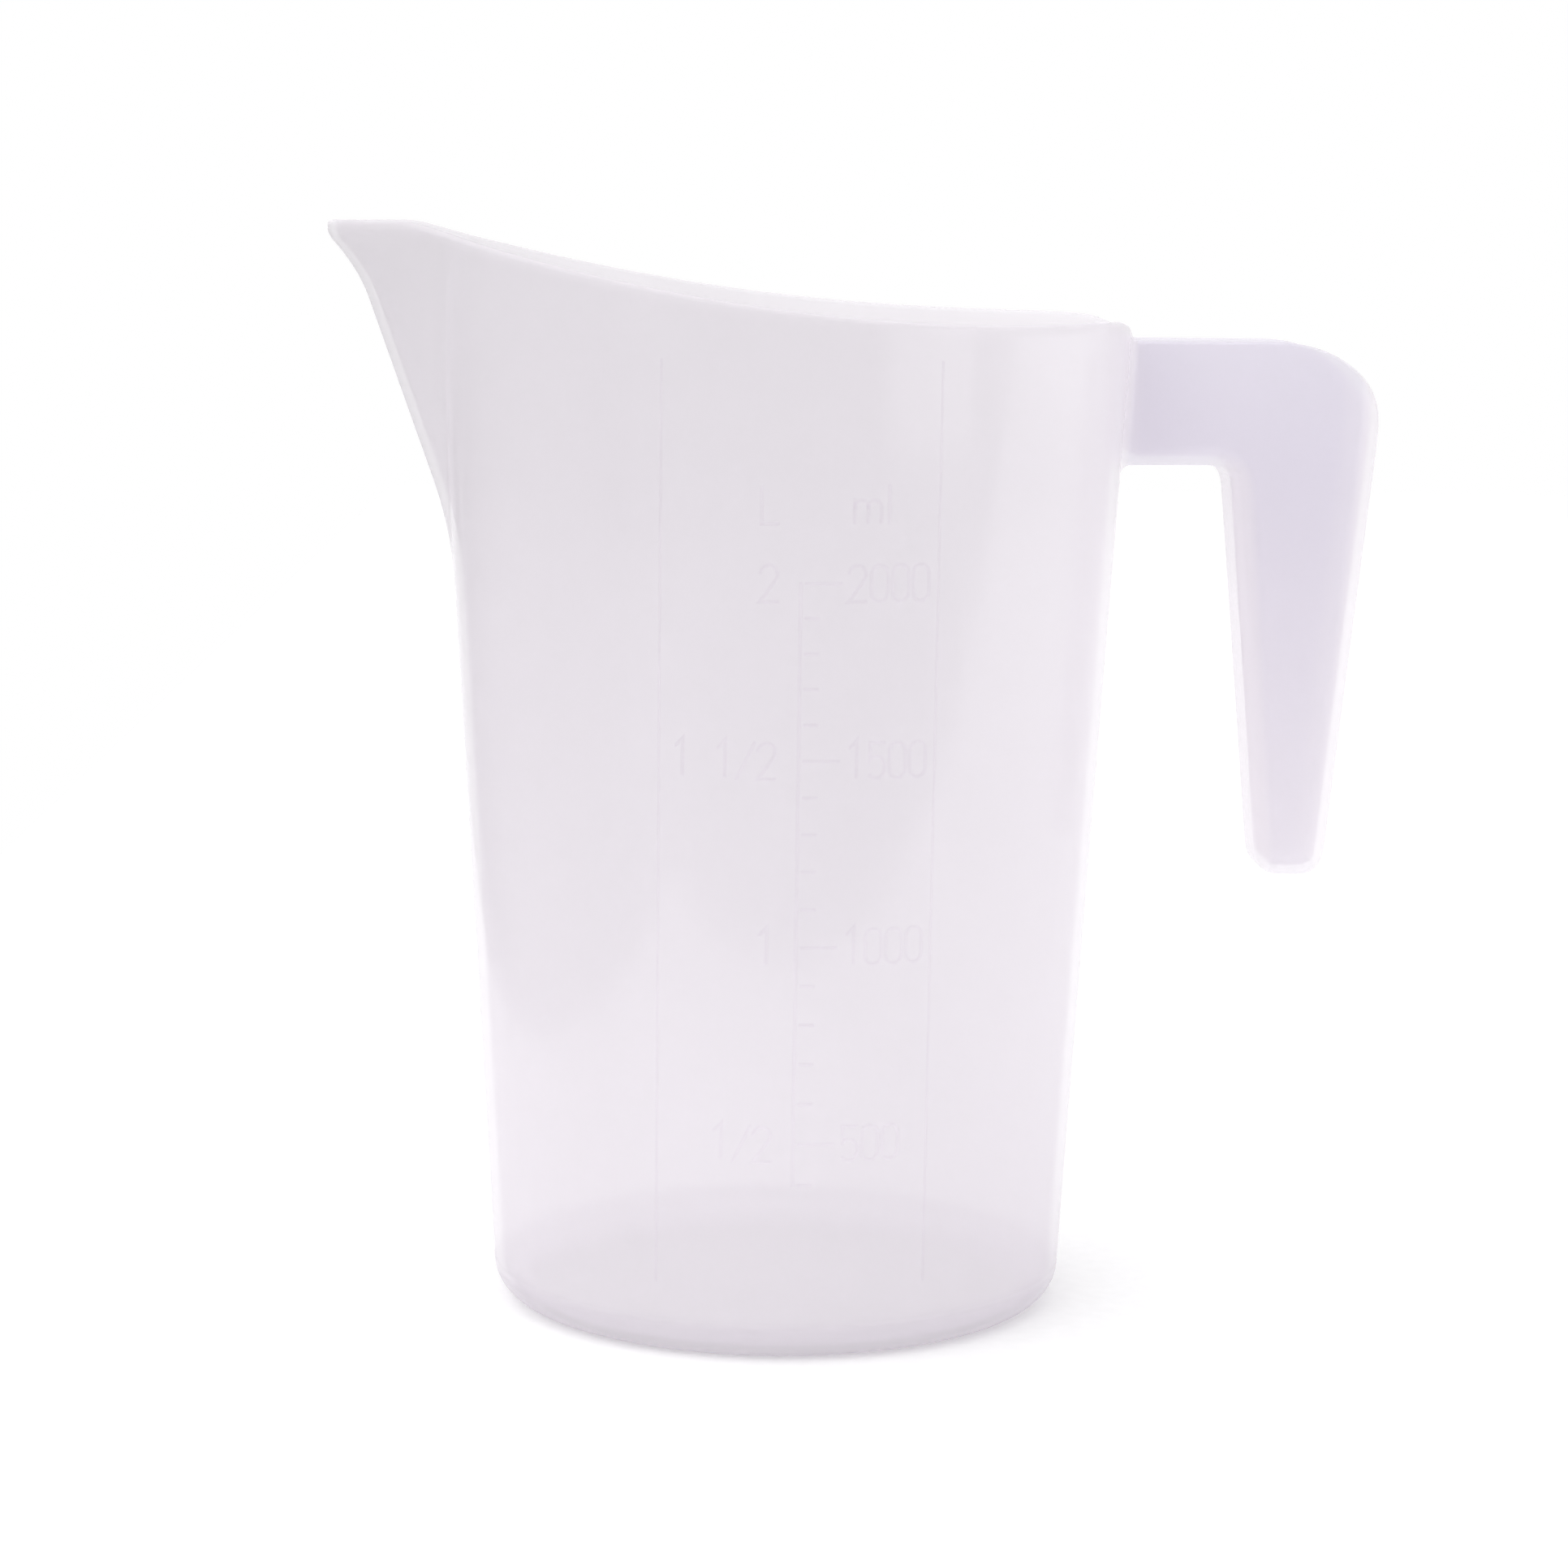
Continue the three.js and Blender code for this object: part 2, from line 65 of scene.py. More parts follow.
SWEEP_START = 48 * MM                       # where the rim starts to climb towards the spout
SWEEP_RADIUS = 430 * MM
DIP_START = 67 * MM                         # and where it starts to round down to the handle
DIP_RADIUS = 7 * MM
SPOUT_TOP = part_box("rim_edge")[1].z
SPOUT_TIP = -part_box("rim_edge")[0].x
SPOUT_FOOT = 164.8 * MM
SPOUT_FLARE = 213.5 * MM                    # above this the keel curls outwards
KEEL_SLOPE = 0.353
KEEL_FLARE = 0.0235 / MM
NOSE_RADIUS = 6 * MM
SPOUT_SIDE = math.radians(50)
CREASE = 3.2 * MM                           # how far to each side the spout's crease is rounded
RIM_BLEND = 0.8 * MM                        # rounding of the rim's outline where its sweep ends
TIP_BLEND = 1.2 * MM                        # and of the keel where it reaches the tip

ARM_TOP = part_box("handle_arm")[1].z
GRIP_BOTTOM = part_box("handle_end")[0].z
HANDLE_WIDTH = 2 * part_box("handle_arm")[1].y
HANDLE_END_WIDTH = 21 * MM
ARM_UNDERSIDE = 180 * MM
ELBOW_CENTRE = 103.5 * MM
ELBOW_REACH = 21.9 * MM
ELBOW_DROP = 18 * MM
SHOULDER = ARM_TOP - ELBOW_DROP             # where the grip's outer face ends
GRIP_OUTER_END = 116.1 * MM
GRIP_INNER_TOP = 94 * MM
GRIP_INNER_END = 101.8 * MM
GRIP_CORNER = 5.5 * MM
PALM_CORNER = 5 * MM
GRIP_EDGE = 5.4 * MM                        # rounding of the grip's long edges
ARM_EDGE = 3.4 * MM                         # and of the arm's lower ones
ROOT_FILLET = 2 * MM
HOLLOW_START = RIM_RADIUS                   # the handle's hollow starts upright, clear of the wall
LIP_ROUND = 0.7 * MM                        # rounding of the open top's edges
SKY = ARM_TOP + 12 * MM                     # the handle's blank runs up to here before it is cut

LINE_WIDTH = 0.8 * MM
LINE_HEIGHT = 0.22 * MM
LINE_SINK = 0.1                             # share of that height that is sunk into the wall
PANEL_LINE_WIDTH = 0.5 * MM
GLYPH_WIDTH = 3.4 * MM
GLYPH_HEIGHT = 7.2 * MM

# ---------------------------------------------------------------- helpers


def finish_piece(mesh, name, nodes, material, normals=None):
    """Puts a mesh into the scene in the place of CAD nodes, smooth shaded."""
    mesh.polygons.foreach_set("use_smooth", [True] * len(mesh.polygons))
    if normals is not None:
        mesh.normals_split_custom_set_from_vertices(normals)
    mesh.materials.append(material)
    piece = bpy.data.objects.new(name, mesh)
    bpy.context.scene.collection.objects.link(piece)
    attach(piece, "root")
    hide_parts(*nodes)
    return piece


def grid_mesh(name, rows, closed_columns, caps=()):
    """A mesh from rows of points, each joined to the next. `caps` are points that close the first
    and the last row."""
    height, width = rows.shape[:2]
    mesh = bpy.data.meshes.new(name)
    build = bmesh.new()
    grid = [[build.verts.new(point) for point in row] for row in rows]
    across = width if closed_columns else width - 1
    for lower, upper in zip(grid, grid[1:]):
        for i in range(across):
            j = (i + 1) % width
            build.faces.new((lower[i], lower[j], upper[j], upper[i]))
    for cap, row, turned in zip(caps, (grid[0], grid[-1]), (True, False)):
        middle = build.verts.new(cap)
        for i in range(across):
            pair = (row[i], row[(i + 1) % width])
            build.faces.new((middle, *(reversed(pair) if turned else pair)))
    build.to_mesh(mesh)
    build.free()
    return mesh


def arc(centre, radii, start, end, steps):
    """Points along an elliptical arc, with angles in degrees."""
    angles = np.radians(np.linspace(start, end, steps + 1))
    across = centre[0] + radii[0] * np.cos(angles)
    up = centre[1] + radii[1] * np.sin(angles)
    return np.stack([across, up], axis=1)


# ---------------------------------------------------------------- the vessel


def wall_radius(z):
    return BASE_RADIUS + TAPER * z


def soft_min(a, b, reach):
    gap = np.clip(0.5 + (b - a) / (2 * reach), 0, 1)
    return b + (a - b) * gap - reach * gap * (1 - gap)


def soft_max(a, b, reach):
    return -soft_min(-a, -b, reach)


def rim_height(x):
    """The rim is level on its way from the spout's sweep to the rounding at the handle."""
    rise = np.maximum(0, SWEEP_START - x) ** 2 / (2 * SWEEP_RADIUS)
    dip = np.maximum(0, x - DIP_START) ** 2 / (2 * DIP_RADIUS)
    return soft_min(RIM_HEIGHT + rise - dip, SPOUT_TOP, RIM_BLEND)


def keel_reach(z):
    """How far the spout's lowest line stands from the vessel's axis."""
    curl = np.maximum(0, z - SPOUT_FLARE)
    reach = wall_radius(SPOUT_FOOT) + KEEL_SLOPE * (z - SPOUT_FOOT) + KEEL_FLARE * curl ** 2
    return soft_min(reach, SPOUT_TIP, TIP_BLEND)


def spout_reach(turn, z, inset):
    """The spout's plan at a height: two straight sides that meet in a round nose."""
    centre = keel_reach(z) - NOSE_RADIUS
    nose = NOSE_RADIUS - inset
    side = centre * math.cos(SPOUT_SIDE) + nose
    tangent = np.arctan2(nose * math.sin(SPOUT_SIDE), centre + nose * math.cos(SPOUT_SIDE))
    on_side = side / np.cos(np.minimum(turn, SPOUT_SIDE) - SPOUT_SIDE)
    across = centre * np.sin(turn)
    on_nose = centre * np.cos(turn) + np.sqrt(np.maximum(0, nose ** 2 - across ** 2))
    return np.where(turn > tangent, on_side, on_nose)


def surface_reach(turn, z, inset):
    """Distance from the axis to the vessel's surface, `inset` inside its outer face."""
    wall = wall_radius(z) - inset
    spout = np.where(z < SPOUT_FOOT - 4 * CREASE, 0, spout_reach(turn, z, inset))
    return soft_max(wall, spout, CREASE)


def mouth_height(turn):
    """Where the vessel's surface and the rim's outline meet, found in a few rounds."""
    height = np.full_like(turn, RIM_HEIGHT)
    for _ in range(12):
        height = rim_height(-np.cos(turn) * surface_reach(turn, height, 0))
    return height


def vessel_mesh():
    """Outside and inside of the vessel as one closed skin, with a full round on its rim."""
    columns, wall_rows, heel_steps, rim_steps = 320, 104, 10, 8
    crowding = 0.86                         # of the columns, towards the spout
    bunching = 0.35                         # of the rows, towards the rim
    share = np.linspace(-1, 1, columns, endpoint=False)
    angle = math.pi * ((1 - crowding) * share + crowding * share ** 3)
    turn = np.abs(angle)
    top = mouth_height(turn) - WALL / 2

    def heel(radius, level, inset):
        centre_z = level + radius
        centre = wall_radius(centre_z) - (inset + radius) / math.cos(LEAN)
        return arc((centre, centre_z), (radius, radius), -90, -math.degrees(LEAN), heel_steps)

    def wall_heights(start):
        climb = np.linspace(0, 1, wall_rows + 1)[1:, None]
        return start + (top - start) * ((1 + bunching) * climb - bunching * climb ** 2)

    def level_rows(points):
        return [(np.full(columns, reach), np.full(columns, z)) for reach, z in points]

    outer_heel = heel(HEEL_RADIUS, 0, 0)
    inner_heel = heel(HEEL_RADIUS - WALL, WALL, WALL)
    floor_rings = (0.3, 0.65, 0.93)         # shares of the floor's radius
    rows = level_rows([(share * outer_heel[0][0], 0) for share in floor_rings])
    rows += level_rows(outer_heel)
    rows += [(surface_reach(turn, z, 0), z) for z in wall_heights(outer_heel[-1][1])]
    outer_reach = surface_reach(turn, top, 0)
    inner_reach = surface_reach(turn, top, WALL)
    middle, half = (outer_reach + inner_reach) / 2, (outer_reach - inner_reach) / 2
    for bend in np.linspace(0, math.pi, rim_steps + 1)[1:-1]:
        rows.append((middle + half * math.cos(bend), top + WALL / 2 * math.sin(bend)))
    rows += [(surface_reach(turn, z, WALL), z) for z in wall_heights(inner_heel[-1][1])[::-1]]
    rows += level_rows(inner_heel[::-1])
    rows += level_rows([(share * inner_heel[0][0], WALL) for share in floor_rings[::-1]])

    points = [np.stack([-reach * np.cos(angle), -reach * np.sin(angle), z], 1) for reach, z in rows]
    return grid_mesh("jug_vessel", np.array(points), True, ((0, 0, 0), (0, 0, WALL)))


# ---------------------------------------------------------------- the handle

# The handle is worked out as a distance field, negative inside the plastic, so that its plates,
# corners and root run into each other with moulded roundings.


def round_both(a, b, radius):
    """Distance to what lies inside both shapes, with the edge between them rounded."""
    corner = np.hypot(np.maximum(a + radius, 0), np.maximum(b + radius, 0))
    return corner + np.minimum(np.maximum(a, b), -radius)


def round_either(a, b, radius):
    return -round_both(-a, -b, radius)


def outline_distance(outline, x, z):
    """Signed distance in the (x, z) plane to a closed outline."""
    nearest = np.full(np.broadcast(x, z).shape, np.inf)
    inside = np.zeros(nearest.shape, bool)
    for (ax, az), (bx, bz) in zip(outline, np.roll(outline, -1, axis=0)):
        run, rise = bx - ax, bz - az
        along = np.clip(((x - ax) * run + (z - az) * rise) / (run ** 2 + rise ** 2), 0, 1)
        nearest = np.minimum(nearest, np.hypot(x - ax - along * run, z - az - along * rise))
        if az != bz:
            crosses = (az > z) != (bz > z)
            inside ^= crosses & (x < ax + run * (z - az) / rise)
    return np.where(inside, -nearest, nearest)


def between(start, end, share):
    return start + (end - start) * share


def grip_outer(z):
    share = (z - GRIP_BOTTOM) / (SHOULDER - GRIP_BOTTOM)
    return between(GRIP_OUTER_END, ELBOW_CENTRE + ELBOW_REACH, share)


def grip_inner(z):
    share = (z - GRIP_BOTTOM) / (ARM_UNDERSIDE - GRIP_BOTTOM)
    return between(GRIP_INNER_END, GRIP_INNER_TOP, share)


def corner_curve(before, corner, after, steps=6):
    """A parabola from `before` to `after` that is drawn towards `corner`."""
    share = np.linspace(0, 1, steps + 1)[:, None]
    before, corner, after = (np.array(point) for point in (before, corner, after))
    return (1 - share) ** 2 * before + 2 * share * (1 - share) * corner + share ** 2 * after


def handle_outline():
    """Side view of the handle. It runs on past the arm's top, where the trim cuts it."""
    end, low = GRIP_BOTTOM, GRIP_BOTTOM + GRIP_CORNER
    under, palm = ARM_UNDERSIDE, ARM_UNDERSIDE - PALM_CORNER
    return np.concatenate([
        [(BASE_RADIUS, under)],
        corner_curve((grip_inner(under) - PALM_CORNER, under),
                     (grip_inner(under), under), (grip_inner(palm), palm)),
        corner_curve((grip_inner(low), low),
                     (grip_inner(end), end), (grip_inner(end) + GRIP_CORNER, end)),
        corner_curve((grip_outer(end) - GRIP_CORNER, end),
                     (grip_outer(end), end), (grip_outer(low), low)),
        [(grip_outer(SHOULDER), SHOULDER), (grip_outer(SHOULDER), SKY), (BASE_RADIUS, SKY)],
    ])


def trim_outline():
    """All that lies under the arm's top line and the elbow's curve."""
    reach = ELBOW_CENTRE + ELBOW_REACH
    elbow = arc((ELBOW_CENTRE, SHOULDER), (ELBOW_REACH, ELBOW_DROP), 0, 90, steps=24)
    return np.concatenate([[(0, 0), (reach, 0)], elbow, [(0, ARM_TOP)]])


HANDLE_OUTLINE = handle_outline()
TRIM_OUTLINE = trim_outline()


def wall_distance(x, y, z):
    return (np.hypot(x, y) - wall_radius(z)) * math.cos(LEAN)


def handle_distance(x, y, z):
    drop = np.clip((ARM_TOP - z) / (ARM_TOP - GRIP_BOTTOM), 0, 1)
    half_width = between(HANDLE_WIDTH, HANDLE_END_WIDTH, drop) / 2
    along_arm = np.clip((x - RIM_RADIUS) / (GRIP_INNER_TOP - RIM_RADIUS), 0, 1)
    edge = between(ARM_EDGE, GRIP_EDGE, along_arm)
    outline = outline_distance(HANDLE_OUTLINE, x, z)
    side = np.abs(y) - half_width
    blank = round_both(outline, side, edge)
    hollow = round_both(outline + WALL, side + WALL, edge - WALL)
    hollow = round_both(hollow, HOLLOW_START - x, ARM_EDGE - WALL)
    trimmed = round_both(blank, outline_distance(TRIM_OUTLINE, x, z), LIP_ROUND)
    shell = round_both(trimmed, -hollow, LIP_ROUND)
    return round_either(shell, wall_distance(x, y, z), ROOT_FILLET)


def surface_net(inside):
    """Cells that a surface passes through, and the quads between them, from a grid of booleans."""
    cells = tuple(n - 1 for n in inside.shape)
    filled = np.zeros(cells, int)
    for i in (0, 1):
        for j in (0, 1):
            for k in (0, 1):
                filled += inside[i:i + cells[0], j:j + cells[1], k:k + cells[2]]
    mixed = (filled > 0) & (filled < 8)
    index = np.full(cells, -1)
    index[mixed] = np.arange(mixed.sum())
    quads = []
    for axis in range(3):
        order = [(axis + step) % 3 for step in range(3)]
        along = inside.transpose(order)
        cell = index.transpose(order)
        corners = [cell[:, :-1, :-1], cell[:, 1:, :-1], cell[:, 1:, 1:], cell[:, :-1, 1:]]
        here, ahead = along[:-1, 1:-1, 1:-1], along[1:, 1:-1, 1:-1]
        for crossing, ring in ((here & ~ahead, corners), (~here & ahead, corners[::-1])):
            quads.append(np.stack([corner[crossing] for corner in ring], axis=1))
    return np.argwhere(mixed), np.concatenate(quads)


def slope_of(field, points, step):
    """The direction in which the field grows, at each point."""
    slopes = []
    for axis in range(3):
        shift = np.zeros(3)
        shift[axis] = step
        slopes.append(field(*(points + shift).T) - field(*(points - shift).T))
    slope = np.stack(slopes, axis=1)
    return slope / np.maximum(np.linalg.norm(slope, axis=1, keepdims=True), 1e-12)


def handle_mesh():
    """The skin of the handle, which flares out at its root onto the vessel's wall."""
    cell = 0.6 * MM
    nudge = 0.05 * MM
    root_depth = 4 * MM                     # how far inside the wall's face the grid starts
    clear = 0.02 * MM                       # what is nearer to the wall belongs to the vessel
    rounds = 5                              # of drawing the points onto the surface
    margin = ROOT_FILLET + 2 * cell
    side = HANDLE_WIDTH / 2 + margin
    low = np.array([wall_radius(ARM_UNDERSIDE) - root_depth, -side, GRIP_BOTTOM - 2 * cell])
    high = np.array([ELBOW_CENTRE + ELBOW_REACH + 2 * cell, side, ARM_TOP + margin])
    counts = np.ceil((high - low) / cell).astype(int) + 1
    x, y, z = (low[axis] + cell * np.arange(counts[axis]) for axis in range(3))
    field = handle_distance(x[:, None, None], y[None, :, None], z[None, None, :])
    cells, quads = surface_net(field < 0)
    points = low + cell * (cells + 0.5)
    for _ in range(rounds):
        away = handle_distance(*points.T)[:, None]
        points = points - away * slope_of(handle_distance, points, nudge)

    on_handle = wall_distance(*points.T) > clear
    quads = quads[on_handle[quads].all(axis=1)]
    used, quads = np.unique(quads, return_inverse=True)
    points = points[used]
    mesh = bpy.data.meshes.new("jug_handle")
    mesh.from_pydata(points.tolist(), [], quads.reshape(-1, 4).tolist())
    return mesh, slope_of(handle_distance, points, nudge)


# ---------------------------------------------------------------- raised marks

# Strokes of a character in a box from (-0.5, -1) to (0.5, 1), or a wider one for "m": points, and
# arcs as (centre x, centre y, radius x, radius y, from, to), with the angles in quarter turns.
STROKES = {
    "0": [[(0, 0.5, 0.5, 0.5, 0, 2), (0, -0.5, 0.5, 0.5, 2, 4), (0.5, 0.5)]],
    "1": [[(-0.35, 0.6), (0.05, 1), (0.05, -1)]],
    "2": [[(0, 0.5, 0.5, 0.5, 1.9, -0.4), (-0.5, -1), (0.5, -1)]],
    "5": [[(0.45, 1), (-0.4, 1), (-0.02, -0.38, 0.52, 0.62, 1.5, -1.5)]],
    "/": [[(0.5, 1), (-0.5, -1)]],
    "L": [[(-0.45, 1), (-0.45, -1), (0.5, -1)]],
    "m": [[(-0.8, 0.25), (-0.8, -1)],
          [(-0.4, -0.2, 0.4, 0.4, 2, 0), (0, -1)],
          [(0.4, -0.2, 0.4, 0.4, 2, 0), (0.8, -1)]],
    "l": [[(0, 1), (0, -1)]],
}


def on_wall(along, up, height):
    """A point of the wall's outside from its distance along the wall, its level and its relief."""
    turn = along / wall_radius(up)
    reach = wall_radius(up) + height
    return np.stack([reach * np.sin(turn), -reach * np.cos(turn), up], axis=-1)


def along_wall(x, z):
    return wall_radius(z) * math.asin(x / wall_radius(z))


def stroke_points(stroke):
    steps_per_quarter = 6
    points = []
    for part in stroke:
        if len(part) == 2:
            points.append([part])
            continue
        centre, radii, (start, end) = part[0:2], part[2:4], part[4:6]
        steps = math.ceil(abs(end - start) * steps_per_quarter)
        points.append(arc(centre, radii, 90 * start, 90 * end, steps))
    return np.concatenate(points) * (GLYPH_WIDTH, GLYPH_HEIGHT / 2)


def raised_line(points, width):
    """Rows of points for a half-round bead along a line on the wall, with round ends."""
    points = np.array(points, float)
    loop = np.allclose(points[0], points[-1])
    if loop:
        points = points[:-1]
    arriving = points - np.roll(points, 1, axis=0)
    leaving = np.roll(points, -1, axis=0) - points
    if not loop:
        arriving[0] = leaving[0]
        leaving[-1] = arriving[-1]
    arriving /= np.linalg.norm(arriving, axis=1, keepdims=True)
    leaving /= np.linalg.norm(leaving, axis=1, keepdims=True)
    mitre = arriving + leaving
    mitre /= 1 + np.sum(arriving * leaving, axis=1, keepdims=True)
    stations = [(point, aim, 1.0) for point, aim in zip(points, mitre)]
    if loop:
        stations.append(stations[0])
    else:
        start, end = stations[0], stations[-1]
        for bend in np.radians([30, 60, 89]):   # round ends that stop just short of a point
            size = math.cos(bend)
            out = width / 2 * math.sin(bend)
            stations.insert(0, (start[0] - start[1] * out, start[1], size))
            stations.append((end[0] + end[1] * out, end[1], size))
    section = np.linspace(0, math.pi, 9)
    across = np.cos(section)
    relief = LINE_HEIGHT * (np.sin(section) ** 0.6 - LINE_SINK)
    rows = []
    for point, aim, size in stations:
        offset = across * size * width / 2
        rows.append(on_wall(point[0] + aim[1] * offset, point[1] - aim[0] * offset, relief * size))
    return np.array(rows)


def place_mark(node, lines, width=LINE_WIDTH):
    """One raised mark from its lines on the wall, in the place of its CAD node."""
    build = bmesh.new()
    for line in lines:
        part = grid_mesh("line", raised_line(line, width), False)
        build.from_mesh(part)
        bpy.data.meshes.remove(part)
    mesh = bpy.data.meshes.new("raised_" + node)
    build.to_mesh(mesh)
    build.free()
    finish_piece(mesh, "raised_" + node, [node], MARK_PLASTIC)


def place_bar(node, width=LINE_WIDTH):
    """A straight mark that runs the length of its CAD node."""
    low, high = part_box(node)
    middle_x, middle_z = (low.x + high.x) / 2, (low.z + high.z) / 2
    if high.x - low.x > high.z - low.z:
        left = along_wall(low.x, middle_z) + width / 2
        right = along_wall(high.x, middle_z) - width / 2
        line = [(left, middle_z), (right, middle_z)]
    else:
        along = along_wall(middle_x, middle_z)
        line = [(along, z) for z in np.linspace(low.z + width / 2, high.z - width / 2, 12)]
    place_mark(node, [line], width)


def place_glyph(node, character):
    """A character in the middle of its CAD node."""
    low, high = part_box(node)
    level = (low.z + high.z) / 2
    middle = (along_wall(low.x, level) + along_wall(high.x, level)) / 2
    strokes = [stroke_points(stroke) for stroke in STROKES[character]]
    whole = np.concatenate(strokes)
    centre = (whole.min(axis=0) + whole.max(axis=0)) / 2
    place_mark(node, [points - centre + (middle, level) for points in strokes])


# ---------------------------------------------------------------- materials

GRIP_END_HIGHLIGHT = 0.6                              # how much painted highlight the grip's flat sides get at its end
EDGE_TURN = (0.15, 0.6)                     # how far a face looks along X where its painted edge highlight starts
HEEL_TOP = HEEL_RADIUS + 0.5 * MM           # painted shade in the heel starts here and deepens downwards
HEEL_FADE = 1.5 * MM                        # and reaches its full depth over this height
FLOOR_FADE = 2 * MM                         # and over this reach, from the floor's edge outwards


def new_material(name):
    material = bpy.data.materials.new(name)
    material.use_nodes = True
    material.node_tree.nodes.clear()
    return material


def add(tree, kind, inputs=None, **settings):
    """A shader node with its settings and its sockets filled or linked."""
    node = tree.nodes.new(kind)
    for key, value in settings.items():
        setattr(node, key, value)
    for socket, value in (inputs or {}).items():
        if isinstance(value, bpy.types.NodeSocket):
            tree.links.new(value, node.inputs[socket])
        else:
            node.inputs[socket].default_value = value
    return node


def ramp(tree, factor, stops):
    """A colour ramp from (place, colour) pairs, where a colour may be a grey level."""
    node = add(tree, "ShaderNodeValToRGB", {"Fac": factor})
    elements = node.color_ramp.elements
    while len(elements) < len(stops):
        elements.new(0.5)
    for element, (position, colour) in zip(elements, stops):
        element.position = position
        grey = isinstance(colour, (int, float))
        element.color = (colour, colour, colour, 1) if grey else (*colour, 1)
    return node.outputs["Color"]


def blend(tree, share, first, second):
    """From the first colour to the second one, as the share goes from 0 to 1."""
    node = add(tree, "ShaderNodeMix", {0: share, 6: first, 7: second}, data_type="RGBA")
    return node.outputs[2]


def along_scale(tree, value, start, end):
    """How far a value has come from start to end, from 0 to 1."""
    return add(tree, "ShaderNodeMapRange", {"Value": value, 1: start, 2: end}).outputs["Result"]


def grip_highlight_mask(tree):
    """Where painted highlight goes: 1 on the grip's faces and roundings that look along X. Its flat
    sides go from 0 at the arm to the share set above at the grip's end."""
    place = add(tree, "ShaderNodeTexCoord").outputs
    facing = add(tree, "ShaderNodeSeparateXYZ", {"Vector": place["Normal"]}).outputs["X"]
    facing = add(tree, "ShaderNodeMath", {0: facing}, operation="ABSOLUTE").outputs[0]
    edge = along_scale(tree, facing, *EDGE_TURN)
    level = add(tree, "ShaderNodeSeparateXYZ", {"Vector": place["Object"]}).outputs["Z"]
    low = along_scale(tree, level, ARM_UNDERSIDE, GRIP_BOTTOM)
    low = add(tree, "ShaderNodeMath", {0: low, 1: GRIP_END_HIGHLIGHT}, operation="MULTIPLY").outputs[0]
    return add(tree, "ShaderNodeMath", {0: edge, 1: low}, operation="MAXIMUM").outputs[0]


def heel_shade_mask(tree):
    """Where painted shade goes: 1 in the corner between the wall and the floor, 0 elsewhere."""
    place = add(tree, "ShaderNodeTexCoord").outputs["Object"]
    height = add(tree, "ShaderNodeSeparateXYZ", {"Vector": place}).outputs["Z"]
    low = along_scale(tree, height, HEEL_TOP, HEEL_TOP - HEEL_FADE)
    level = add(tree, "ShaderNodeVectorMath", {0: place, 1: (1, 1, 0)}, operation="MULTIPLY")
    reach = add(tree, "ShaderNodeVectorMath", {0: level.outputs[0]}, operation="LENGTH")
    floor_edge = BASE_RADIUS - HEEL_RADIUS
    outside = along_scale(tree, reach.outputs["Value"], floor_edge, floor_edge + FLOOR_FADE)
    return add(tree, "ShaderNodeMath", {0: low, 1: outside}, operation="MULTIPLY").outputs[0]


def milky_plastic(name, pale, deep, clear, roughness, cloudiness, glow_share=0.45, painted_light_and_shade=None):
    """Milky polypropylene. `pale` and `deep` are its colours where it is thinner and denser,
    `clear` the least and greatest share of what is behind it that shows through, and
    `glow_share` how much of its colour comes from light that falls on its far side. The last
    argument finds where painted light and shade go on the skin, with their colour and clearness."""
    material = new_material(name)
    tree = material.node_tree
    place = add(tree, "ShaderNodeTexCoord").outputs["Object"]
    flow = add(tree, "ShaderNodeMapping", {"Vector": place, "Scale": (1, 1, 0.35)}).outputs[0]
    clouds = add(tree, "ShaderNodeTexNoise", {
        "Vector": flow, "Scale": cloudiness, "Detail": 3.0, "Roughness": 0.55}).outputs["Fac"]
    grain = add(tree, "ShaderNodeTexNoise", {
        "Vector": place, "Scale": 900.0, "Detail": 2.0, "Roughness": 0.6}).outputs["Fac"]
    waves = add(tree, "ShaderNodeTexNoise", {
        "Vector": flow, "Scale": 45.0, "Detail": 2.0, "Roughness": 0.5}).outputs["Fac"]
    colour = ramp(tree, clouds, [(0.3, pale), (0.7, deep)])
    through = ramp(tree, clouds, [(0.3, clear[1]), (0.7, clear[0])])
    # Painted light and shade: where the finder marks the skin, its colour and clearness are
    # replaced.
    if painted_light_and_shade:
        find_painted_part, painted_colour, painted_clear = painted_light_and_shade
        share = find_painted_part(tree)
        colour = blend(tree, share, colour, (*painted_colour, 1))
        through = blend(tree, share, through, (painted_clear, painted_clear, painted_clear, 1))
    gloss = ramp(tree, grain, [(0.35, roughness - 0.04), (0.65, roughness + 0.05)])
    ripple = add(tree, "ShaderNodeBump", {"Height": waves, "Strength": 0.12, "Distance": 0.002})
    bump = add(tree, "ShaderNodeBump", {
        "Height": grain, "Strength": 0.1, "Distance": 0.00003, "Normal": ripple.outputs["Normal"]})
    skin = add(tree, "ShaderNodeBsdfPrincipled", {
        "Base Color": colour, "Roughness": gloss, "IOR": 1.49, "Specular IOR Level": 1.0,
        "Normal": bump.outputs["Normal"]})
    glow = add(tree, "ShaderNodeBsdfTranslucent", {
        "Color": colour, "Normal": bump.outputs["Normal"]})
    body = add(tree, "ShaderNodeMixShader", {0: glow_share, 1: skin.outputs[0], 2: glow.outputs[0]})
    behind = add(tree, "ShaderNodeBsdfTransparent", {"Color": (0.985, 0.978, 0.988, 1)})
    whole = add(tree, "ShaderNodeMixShader", {0: through, 1: body.outputs[0], 2: behind.outputs[0]})
    output = add(tree, "ShaderNodeOutputMaterial")
    tree.links.new(whole.outputs[0], output.inputs["Surface"])
    return material
